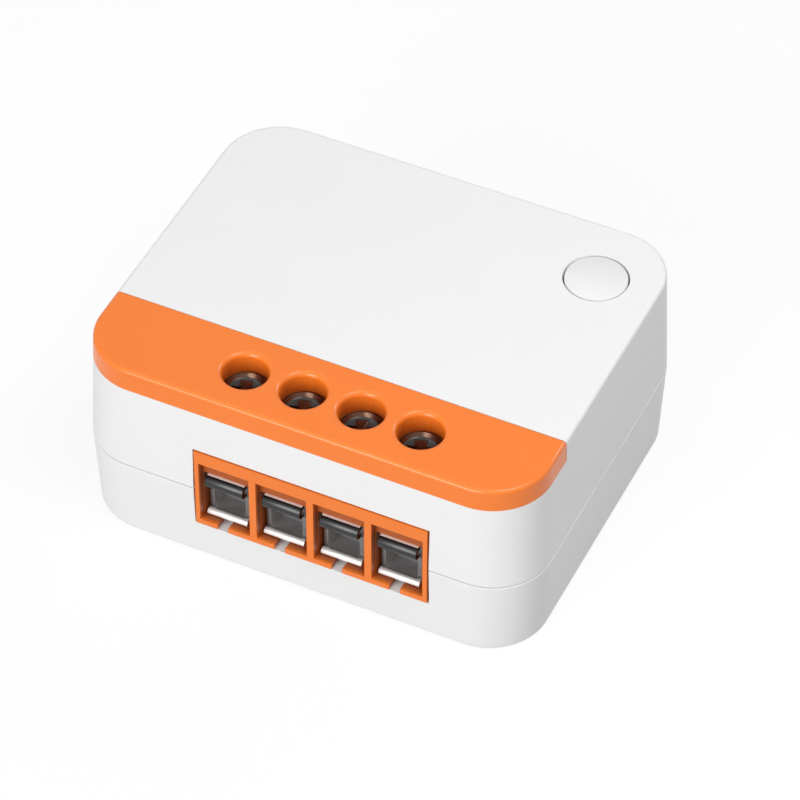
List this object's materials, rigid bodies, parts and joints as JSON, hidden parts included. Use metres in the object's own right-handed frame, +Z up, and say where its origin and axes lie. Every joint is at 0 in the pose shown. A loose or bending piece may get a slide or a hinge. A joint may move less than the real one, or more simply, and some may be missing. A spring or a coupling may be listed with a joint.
{
  "type": "smart switch relay module",
  "caption": "Small white in-wall relay module with an orange screw terminal block, an orange strip over the screw heads and a round push button on top.",
  "frame": {"origin": "middle of the case's underside", "axes": "+Z up out of the top face with the button, -Y out of the wire ports, +X to the right as seen from the wire ports"},
  "size_m": [0.0396, 0.032, 0.018],
  "materials": {
    "case_plastic": "fine satin moulded",
    "orange_plastic": "satin moulded",
    "button_plastic": "satin moulded",
    "plated_steel": "zinc plated",
    "screw_steel": "dark zinc plated",
    "tinned_brass": "tinned",
    "board_laminate": "lacquered",
    "black_plastic": "moulded",
    "relay_plastic": "moulded",
    "capacitor_sleeve": "shrink sleeve",
    "inductor_sleeve": "shrink sleeve",
    "varistor_coat": "dipped epoxy",
    "resistor_coat": "dipped"
  },
  "bodies": {
    "root": {"upper_case": "case_plastic", "lower_case": "case_plastic", "front_strip": "orange_plastic", "terminal_block": "orange_plastic", "tact_switch_body": "black_plastic", "tact_switch_cover": "plated_steel", "main_board": "board_laminate", "radio_board": "board_laminate", "radio_shield": "plated_steel", "header_spacers": "black_plastic", "header_pins": "tinned_brass", "relay_cover": "relay_plastic", "relay_base": "relay_plastic", "relay_pins": "tinned_brass", "bulk_capacitor": "capacitor_sleeve", "small_capacitor": "capacitor_sleeve", "supply_inductor": "inductor_sleeve", "surge_varistor": "varistor_coat", "fuse_resistor": "resistor_coat", "component_leads": "tinned_brass", "converter_chip": "black_plastic", "bridge_rectifier": "black_plastic", "contact_bar_1": "tinned_brass", "contact_bar_2": "tinned_brass", "contact_bar_3": "tinned_brass", "contact_bar_4": "tinned_brass"},
    "button": {"button_cap": "button_plastic"},
    "tact_plunger": {"tact_switch_plunger": "black_plastic"},
    "screw_1": {"clamp_screw_1": "screw_steel"},
    "cage_1": {"clamp_cage_1": "plated_steel"},
    "screw_2": {"clamp_screw_2": "screw_steel"},
    "cage_2": {"clamp_cage_2": "plated_steel"},
    "screw_3": {"clamp_screw_3": "screw_steel"},
    "cage_3": {"clamp_cage_3": "plated_steel"},
    "screw_4": {"clamp_screw_4": "screw_steel"},
    "cage_4": {"clamp_cage_4": "plated_steel"}
  },
  "joints": [
    {"name": "button_press", "type": "slide", "parent": "root", "child": "button", "axis": [0, 0, -1], "range_m": [0, 0.0003], "stiffness_N_per_m": 1000, "springref_m": -0.0005},
    {"name": "tact_plunger_press", "type": "slide", "parent": "root", "child": "tact_plunger", "axis": [0, 0, -1], "range_m": [0, 0.0003]},
    {"name": "clamp_screw_1_turn", "type": "hinge", "parent": "root", "child": "screw_1", "pos_m": [-0.00609, -0.01188, 0.0161], "axis": [0, 0, -1], "range_deg": [0, 1800]},
    {"name": "clamp_cage_1_lift", "type": "slide", "parent": "root", "child": "cage_1", "axis": [0, 0, 1], "range_m": [0, 0.00225]},
    {"name": "clamp_screw_2_turn", "type": "hinge", "parent": "root", "child": "screw_2", "pos_m": [-0.00109, -0.01188, 0.0161], "axis": [0, 0, -1], "range_deg": [0, 1800]},
    {"name": "clamp_cage_2_lift", "type": "slide", "parent": "root", "child": "cage_2", "axis": [0, 0, 1], "range_m": [0, 0.00225]},
    {"name": "clamp_screw_3_turn", "type": "hinge", "parent": "root", "child": "screw_3", "pos_m": [0.00391, -0.01188, 0.0161], "axis": [0, 0, -1], "range_deg": [0, 1800]},
    {"name": "clamp_cage_3_lift", "type": "slide", "parent": "root", "child": "cage_3", "axis": [0, 0, 1], "range_m": [0, 0.00225]},
    {"name": "clamp_screw_4_turn", "type": "hinge", "parent": "root", "child": "screw_4", "pos_m": [0.00891, -0.01188, 0.0161], "axis": [0, 0, -1], "range_deg": [0, 1800]},
    {"name": "clamp_cage_4_lift", "type": "slide", "parent": "root", "child": "cage_4", "axis": [0, 0, 1], "range_m": [0, 0.00225]}
  ],
  "couplings": [
    {"joint": "tact_plunger_press", "follows": "button_press", "ratio": 1},
    {"joint": "clamp_screw_1_turn", "follows": "clamp_cage_1_lift", "rad_per_m": 13963},
    {"joint": "clamp_screw_2_turn", "follows": "clamp_cage_2_lift", "rad_per_m": 13963},
    {"joint": "clamp_screw_3_turn", "follows": "clamp_cage_3_lift", "rad_per_m": 13963},
    {"joint": "clamp_screw_4_turn", "follows": "clamp_cage_4_lift", "rad_per_m": 13963}
  ]
}
